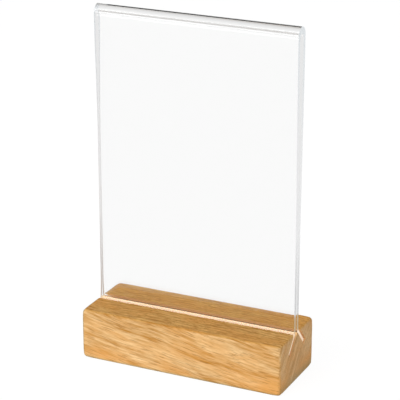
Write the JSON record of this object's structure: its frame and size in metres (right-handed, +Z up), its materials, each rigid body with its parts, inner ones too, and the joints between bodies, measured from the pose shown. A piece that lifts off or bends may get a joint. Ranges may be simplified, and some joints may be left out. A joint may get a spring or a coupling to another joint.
{
  "type": "sign holder",
  "caption": "Upright clear sign holder: a folded acrylic sleeve whose splayed legs slide in slanted slots of a solid wooden block.",
  "frame": {"origin": "middle of the block's underside", "axes": "+X along the block and the slot, +Y from the block's front to its back, +Z up"},
  "size_m": [0.1072, 0.0412, 0.1773],
  "materials": {
    "oiled_oak": "satin oil",
    "clear_acrylic": "polished, clear"
  },
  "bodies": {
    "base": {"wooden_base": "oiled_oak"},
    "sleeve": {"acrylic_sleeve": "clear_acrylic"}
  },
  "joints": [
    {"name": "sleeve_slide", "type": "slide", "parent": "base", "child": "sleeve", "axis": [1, 0, 0], "range_m": [-0.105, 0.105]}
  ]
}
